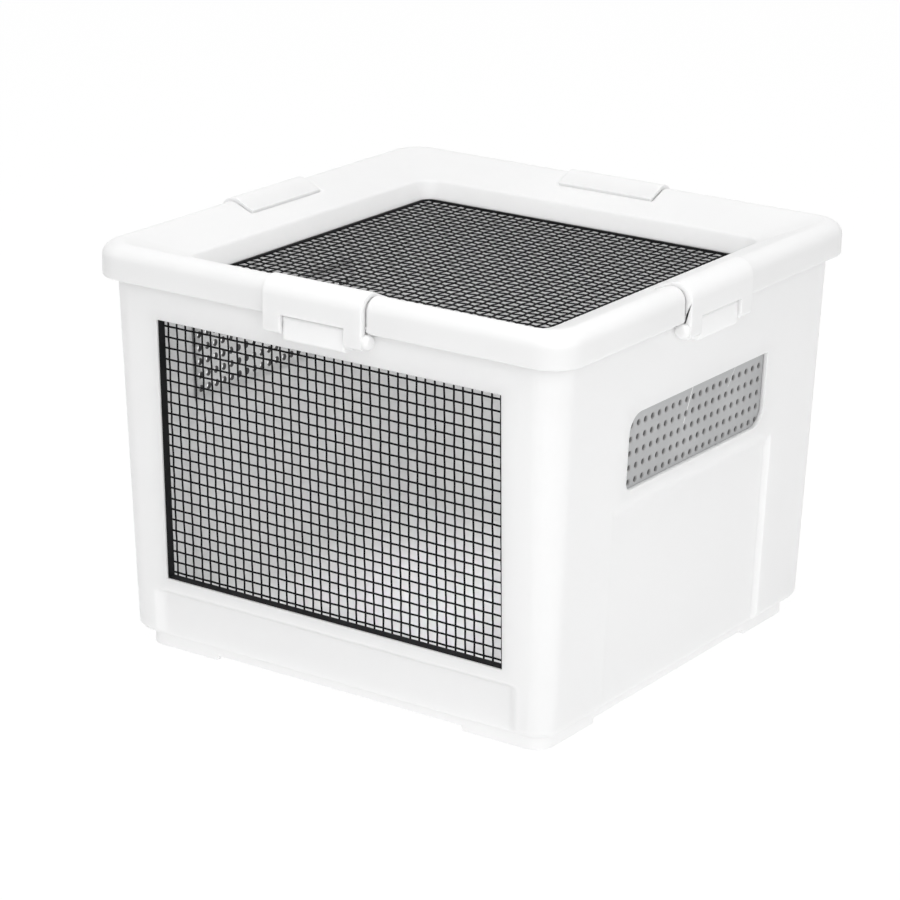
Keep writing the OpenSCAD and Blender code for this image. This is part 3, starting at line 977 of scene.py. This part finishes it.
def latch_section():
    """The hook over the rim, down to the hinge barrel."""
    slope = math.degrees(FUNNEL_ANGLE)
    back = LATCH_R - LATCH_PROUD
    outer = arc((-back, SHOULDER_Z), LATCH_R, 0, 90 + slope, HOOK_STEPS)
    inner_r = RIM_R - NOTCH_DEPTH + LATCH_GAP
    inner = arc((-RIM_R, SHOULDER_Z), inner_r, 90 + slope, 0, RIDGE_STEPS)
    tangent = math.tan(FUNNEL_ANGLE)
    lip_top = (-LIP_REACH, outer[-1][1] - (LIP_REACH + outer[-1][0]) * tangent - LIP_THIN)
    lip_bottom = (-LIP_REACH, inner[0][1] - (LIP_REACH + inner[0][0]) * tangent)
    leg_back = inner[-1][0]
    meet = math.degrees(math.acos((leg_back - BARREL_OUT) / BARREL_R))
    barrel = arc((BARREL_OUT, HINGE_Z), BARREL_R, meet, 270, HOOK_STEPS)
    toe_middle = (LATCH_PROUD - LATCH_TOE, HINGE_Z - BARREL_R + LATCH_TOE)
    toe = arc(toe_middle, LATCH_TOE, 270, 360, TOE_STEPS)
    return barrel + toe + outer + [lip_top, lip_bottom] + inner


def combine(obj, other, operation):
    """Applies a Boolean with another object, which is then removed."""
    modifier = obj.modifiers.new(operation, "BOOLEAN")
    modifier.operation = operation
    modifier.solver = "EXACT"
    modifier.object = other
    graph = bpy.context.evaluated_depsgraph_get()
    mesh = bpy.data.meshes.new_from_object(obj.evaluated_get(graph))
    obj.modifiers.clear()
    obj.data = mesh
    bpy.data.objects.remove(other)


def knob(end):
    """A domed knob on the hinge's axis, at one end of a latch."""
    data = MeshData()
    profile = [(KNOB_R, LATCH_HALF - KNOB_ROOT)]
    profile += arc((KNOB_R - KNOB_ROUND, KNOB_HALF - KNOB_ROUND), KNOB_ROUND, 0, 90, TOE_STEPS)
    rings = [
        data.add([(end * along, out, z) for out, z in circle((BARREL_OUT, HINGE_Z), radius)])
        for radius, along in profile
    ]
    data.chain(rings)
    data.faces += [tuple(rings[0]), tuple(reversed(rings[-1]))]
    return add_object("knob", data.mesh("knob"))


def latch_mesh(end):
    """A latch in the frame of a side: along it, out from the lid's face, and up. Its knob is at one end."""
    latch = prism("latch", latch_section(), -LATCH_HALF, LATCH_HALF)
    low, high = HINGE_Z - 3 * BARREL_R, BRIDGE_Z
    gap = [(-LEG_GAP_REACH, low), (LEG_GAP_REACH, low), (LEG_GAP_REACH, high), (-LEG_GAP_REACH, high)]
    combine(latch, prism("gap", gap, -LEG_INNER, LEG_INNER), "DIFFERENCE")
    combine(latch, knob(end), "UNION")
    bore_ends = sorted((-end * KNOB_HALF, end * LATCH_HALF))
    combine(latch, prism("bore", circle((BARREL_OUT, HINGE_Z), BORE_R), *bore_ends), "DIFFERENCE")
    mesh = latch.data
    bpy.data.objects.remove(latch)
    return mesh


# Woven meshes


def add_wire(data, path, lateral, out, width):
    """A wire with an oval section along a path, closed at both ends."""
    turns = [2 * math.pi * (n + 0.5) / WIRE_SIDES for n in range(WIRE_SIDES)]
    rings = []
    for point in path:
        rings.append(data.add([
            point + lateral * width / 2 * math.cos(turn) + out * WIRE_T / 2 * math.sin(turn)
            for turn in turns
        ]))
    data.chain(rings)
    data.faces += [tuple(reversed(rings[0])), tuple(rings[-1])]


def woven_mesh(name, weave, middle, right, up, halves):
    """A plain weave of crimped wires, a little uneven, in the plane of right and up."""
    draw = random.Random(weave.seed)
    out = right.cross(up)
    data = MeshData()
    starts = []
    for half, gap, moved in zip(halves, weave.pitch, weave.shift):
        count = int(2 * (half - weave.wire / 2) / gap) + 1
        starts.append(moved - (count - 1) / 2 * gap)
    for way, (lateral, forward) in enumerate([(right, up), (up, right)]):
        across, length = halves[way], halves[1 - way]
        gap, cross_gap = weave.pitch[way], weave.pitch[1 - way]
        rise = weave.rise * (1 - 2 * way)
        steps = int(2 * length / cross_gap * CRIMP_STEPS)
        for i in range(int(2 * across / gap) + 2):
            place = starts[way] + i * gap + draw.uniform(-WIRE_STRAY, WIRE_STRAY)
            lean = draw.uniform(-WIRE_LEAN, WIRE_LEAN)
            bow = draw.uniform(-WIRE_BOW, WIRE_BOW)
            phase = draw.uniform(0, 2 * math.pi)
            if abs(place) > across - weave.wire / 2:
                continue
            path = []
            for n in range(steps + 1):
                t = -length + 2 * length * n / steps
                share = t / length
                wave = WIRE_WAVE * math.sin(WAVE_TURN * share + phase)
                drift = lean * share + bow * (1 - share * share) + wave
                crimp = math.cos(math.pi * ((t - starts[1 - way]) / cross_gap + i))
                path.append(middle + lateral * (place + drift) + forward * t + out * rise * crimp)
            add_wire(data, path, lateral, out, weave.wire)
    return data.mesh(name)


# Vent plates


def block_outline(counts):
    """Points round a block of the holes' cells, from its middle, where its cells' own points are."""
    half_w, half_h = (count * pitch / 2 for count, pitch in zip(counts, HOLE_PITCH))
    points = []
    for k, (start, end) in enumerate(zip(CORNERS, CORNERS[1:] + CORNERS[:1])):
        parts = counts[k % 2] * CELL_PARTS
        for share in np.arange(parts) / parts:
            x, y = (a + (b - a) * share for a, b in zip(start, end))
            points.append((x * half_w, y * half_h))
    return points


class VentPlate(MeshData):
    """A perforated plate on the inside of a side's vent, with holes that flare a little at both faces."""

    def __init__(self, side):
        super().__init__()
        self.across = ALONG[side] if side == RIGHT else -ALONG[side]
        self.up, self.inward = wall_axes(side)
        depth = WALL * math.cos(math.atan(LEAN)) + PLATE_GAP
        self.middle = at_side(side, 0, -wall_inset(VENT_MIDDLE), VENT_MIDDLE) + self.inward * depth

    def ring(self, points, depth):
        """Adds points by their places across and up the plate, at a depth below its outer face."""
        return self.add([
            self.middle + self.across * x + self.up * y + self.inward * depth for x, y in points
        ])

    def add_hole(self, x0, y0, cell):
        """A hole in its cell, from the outer face through to the inner one."""
        turns = [math.atan2(y, x) for x, y in cell]
        hole = [(MOUTH_R, 0), (HOLE_R, FLARE_DEPTH), (HOLE_R, BORE_STEP)]
        hole += [(HOLE_R, PLATE_T - FLARE_DEPTH), (MOUTH_R, PLATE_T)]
        square = [(x0 + x, y0 + y) for x, y in cell]
        rings = [self.ring(square, 0)]
        for radius, depth in hole:
            edge = [(x0 + radius * math.cos(t), y0 + radius * math.sin(t)) for t in turns]
            rings.append(self.ring(edge, depth))
        rings.append(self.ring(square, PLATE_T))
        self.chain(rings)

    def add_border(self):
        """The plate's margin round the holes, and its edge."""
        border = block_outline(HOLE_COUNT)
        grow_w = (VENT_HALF + PLATE_LAP) / max(x for x, y in border)
        grow_h = (VENT_HALF_H + PLATE_LAP) / max(y for x, y in border)
        grid = [(x + HOLE_SHIFT[0], y + HOLE_SHIFT[1]) for x, y in border]
        edge = [(x * grow_w, y * grow_h) for x, y in border]
        places = [(grid, 0), (edge, 0), (edge, PLATE_T), (grid, PLATE_T)]
        self.chain([self.ring(*place) for place in places])

    def paint(self, mesh):
        """Picks each face's material by the way that it faces and by its place."""
        for face in mesh.polygons:
            facing = face.normal.dot(self.inward)
            place = face.center / MM - self.middle
            at_edge = abs(place.dot(self.across)) > VENT_HALF + PLATE_LAP / 2
            at_end = abs(place.dot(self.up)) > VENT_HALF_H + PLATE_LAP / 2
            if facing < -FLAT_FACE:
                face.material_index = OUTER_FACE
            elif facing > FLAT_FACE or at_edge or at_end:
                face.material_index = INNER_FACE
            else:
                # The deeper part of a hole's wall gets the darker material, as painted shade inside the
                # hole
                face.material_index = HOLE_MOUTH if place.dot(self.inward) < BORE_STEP else SHADED_HOLE_BACK

    def build(self, name):
        cell = block_outline((1, 1))
        cols, rows = HOLE_COUNT
        for i in range(cols):
            for j in range(rows):
                x0 = (i - (cols - 1) / 2) * HOLE_PITCH[0] + HOLE_SHIFT[0]
                y0 = (j - (rows - 1) / 2) * HOLE_PITCH[1] + HOLE_SHIFT[1]
                self.add_hole(x0, y0, cell)
        self.add_border()
        mesh = self.mesh(name)
        self.paint(mesh)
        return mesh


# Pieces


def build_tub():
    tub = add_object("tub_shell", TubShell().build("tub_shell"))
    shade(tub, sharp_angle=40)
    add_bevel(tub, TUB_EDGE, angle=50)
    dress(tub, white_plastic("white_wall_plastic", depth=4.0, tone=0.94), "tub", "white_plastic", "tub")


def build_lid():
    lid = add_object("lid_shell", lid_shell_mesh("lid_shell"))
    shade(lid, sharp_angle=60)
    # Painted shade: the lid's plastic has a lower tone than the tub's, to hold its brighter lit faces down
    dress(lid, white_plastic("shaded_white_lid_plastic", depth=2.5, tone=0.83), "lid", "white_plastic", "lid")


def build_latches(material):
    for side, name in enumerate(SIDE_NAMES):
        mesh = latch_mesh(KNOB_END[side])
        mesh.transform(side_matrix(side))
        latch = add_object(f"{name}_latch_body", mesh)
        shade(latch, sharp_angle=30)
        add_bevel(latch, LATCH_EDGE, angle=35, segments=3)
        dress(latch, material, f"{name}_latch", "white_plastic", f"latch_{name}")


def add_weave(name, mesh, material, body, node):
    weave = add_object(name, mesh)
    shade(weave, sharp_angle=75)
    dress(weave, material, body, "black_mesh", node)


def build_weaves():
    material = black_mesh()
    up, inward = wall_axes(FRONT)
    window_mid = sum(WINDOW_Z) / 2
    middle = at_side(FRONT, 0, -wall_inset(window_mid), window_mid) + inward * FRONT_MESH_DEPTH
    halves = (WINDOW_HALF + FRONT_MESH_LAP, (WINDOW_Z[1] - WINDOW_Z[0]) / 2 + FRONT_MESH_LAP)
    mesh = woven_mesh("front_weave", FRONT_WEAVE, middle, ALONG[FRONT], up, halves)
    add_weave("front_weave", mesh, material, "tub", "front_mesh")

    low, high = node_box("lid_mesh")
    middle = Vector((low + high) / 2)
    halves = (high[0] - LID_MESH_EDGE, high[1] - LID_MESH_EDGE)
    mesh = woven_mesh("lid_weave", LID_WEAVE, middle, ALONG[FRONT], ALONG[RIGHT], halves)
    add_weave("lid_weave", mesh, material, "lid", "lid_mesh")


def build_plates():
    """The vent plates: a brushed grey outer face and a pale inner one, which are shaded and lit copies of
    one thin sheet, painted for the light that comes through it, and holes with painted shade inside.
    """
    outer_face = grey_plate()
    # Painted light: the inner face is pale and the outer one grey, for light that comes through the thin
    # plate
    inner_face = white_plastic("painted_lit_plate_back", depth=5.0, tone=0.95)
    hole_mouth = plain_plate("grey_hole_mouth", 0.36, 0.42)
    # Painted shade: the deeper part of each hole's wall is darker than its mouth
    shaded_hole_back = plain_plate("painted_shade_hole_back", 0.16, 0.2)
    # Painted shade: the left plate's holes are nearly black all through, so that they show as dark dots
    # from inside the cage
    painted_shade_hole = plain_plate("painted_shade_hole", 0.07, 0.1)
    holes = {RIGHT: [hole_mouth, shaded_hole_back], LEFT: [painted_shade_hole, painted_shade_hole]}
    for side, hole_materials in holes.items():
        name = f"{SIDE_NAMES[side]}_vent_grille"
        plate = add_object(name, VentPlate(side).build(name))
        shade(plate, sharp_angle=30)
        dress(plate, outer_face, "tub", "grey_plate", f"{SIDE_NAMES[side]}_vent_plate")
        for material in (inner_face, *hole_materials):
            plate.data.materials.append(material)


def dress_node(obj, material, edge):
    """Gives a node of the frame its material and rounded edges."""
    obj.data.materials.clear()
    obj.data.materials.append(material)
    add_bevel(obj, edge, angle=40)


def build_pieces():
    latch_white = white_plastic("white_latch_plastic", depth=3.0, tone=0.86)
    trim = black_trim()
    build_tub()
    build_lid()
    build_latches(latch_white)
    build_weaves()
    build_plates()
    for name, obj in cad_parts.items():
        if "strip" in name:
            dress_node(obj, trim, STRIP_EDGE)
        if name.startswith("hinge_pin"):
            dress_node(obj, latch_white, PIN_EDGE)


# Stage


def background_share(tree, on_object, shown):
    """One value for light on the object, and another for the rays that show the background: those of the
    camera, of reflections and through glass."""
    rays = tree.nodes.new("ShaderNodeLightPath").outputs
    seen = rays["Is Camera Ray"]
    for name in ("Is Glossy Ray", "Is Transmission Ray"):
        seen = add_node(tree, "Math", 0, {0: seen, 1: rays[name]}, operation="MAXIMUM")
    return add_node(tree, "MapRange", "Result", {"Value": seen, "To Min": on_object, "To Max": shown})


def floor_material():
    """A white floor that gives off part of its light itself, so that only a soft shadow shows on it, and
    that is clear when seen from below."""
    material = bpy.data.materials.new("pale_floor")
    material.use_nodes = True
    tree = material.node_tree
    tree.nodes.clear()
    paint = add_node(tree, "BsdfDiffuse", 0, {"Color": (FLOOR_TONE, FLOOR_TONE, FLOOR_TONE, 1)})
    light = add_node(tree, "Emission", 0, {"Strength": FLOOR_LIGHT})
    share = background_share(tree, FLOOR_FILL, FLOOR_SHOWN)
    top = add_node(tree, "MixShader", 0, {0: share, 1: paint, 2: light})
    from_below = add_node(tree, "NewGeometry", "Backfacing")
    clear = add_node(tree, "BsdfTransparent", 0)
    one_sided = add_node(tree, "MixShader", 0, {0: from_below, 1: top, 2: clear})
    put(tree, tree.nodes.new("ShaderNodeOutputMaterial").inputs["Surface"], one_sided)
    return material


def build_floor():
    data = MeshData()
    corners = data.add([(x * FLOOR_REACH, y * FLOOR_REACH, 0) for x, y in CORNERS])
    data.faces.append(tuple(corners))
    floor = add_object("floor", data.mesh("floor"))
    floor.location.z = -FLOOR_DROP * MM
    floor.data.materials.append(floor_material())


def build_world():
    """White to the camera and in reflections, and a plain soft fill on the object."""
    world = bpy.data.worlds.new("soft_studio")
    bpy.context.scene.world = world
    world.use_nodes = True
    tree = world.node_tree
    background = tree.nodes["Background"]
    background.inputs["Color"].default_value = (1, 1, 1, 1)
    put(tree, background.inputs["Strength"], background_share(tree, WORLD_FILL, 1.0))


def add_looking(name, content, target, azimuth, elevation, distance):
    """A light or camera that looks at a target. Azimuth 0 is in front, and angles are in degrees."""
    a, e = math.radians(azimuth), math.radians(elevation)
    back = Vector((math.sin(a) * math.cos(e), -math.cos(a) * math.cos(e), math.sin(e)))
    obj = add_object(name, content)
    obj.location = Vector(target) * MM + back * (distance * MM)
    obj.rotation_mode = "QUATERNION"
    obj.rotation_quaternion = (-back).to_track_quat("-Z", "Y")
    return obj


def add_area_light(name, azimuth, elevation, distance, size, power, spread=180):
    """A square light that looks at the middle of the cage, with its power in watts."""
    light = bpy.data.lights.new(name, "AREA")
    light.shape = "SQUARE"
    light.size = size * MM
    light.energy = power
    light.spread = math.radians(spread)
    add_looking(name, light, LIGHT_TARGET, azimuth, elevation, distance)


def build_lights():
    """Three soft lights, and a weak narrow one that reaches the cage's floor through the lid's mesh."""
    add_area_light("key", azimuth=52, elevation=22, distance=1100, size=800, power=3.0)
    add_area_light("front", azimuth=8, elevation=38, distance=1400, size=900, power=1.9)
    add_area_light("top", azimuth=20, elevation=80, distance=1600, size=1000, power=10.0)
    add_area_light("inside", azimuth=0, elevation=90, distance=1300, size=140, power=0.02, spread=6)


def build_camera():
    camera = bpy.data.cameras.new("camera")
    camera.sensor_width = SENSOR
    camera.lens = FOCAL_PIXELS / FRAME_PIXELS * SENSOR
    view = (CAMERA_AZIMUTH, CAMERA_ELEVATION, CAMERA_DISTANCE)
    obj = add_looking("camera", camera, CAMERA_TARGET, *view)
    roll = Matrix.Rotation(math.radians(CAMERA_ROLL), 3, "Z")
    obj.rotation_quaternion = (obj.rotation_quaternion.to_matrix() @ roll).to_quaternion()
    bpy.context.scene.camera = obj


build_camera()
build_pieces()
build_floor()
build_world()
build_lights()
bpy.context.scene.view_settings.view_transform = "Standard"
# Enough bounces for light inside a white box
bpy.context.scene.cycles.max_bounces = 24
bpy.context.scene.cycles.diffuse_bounces = 16
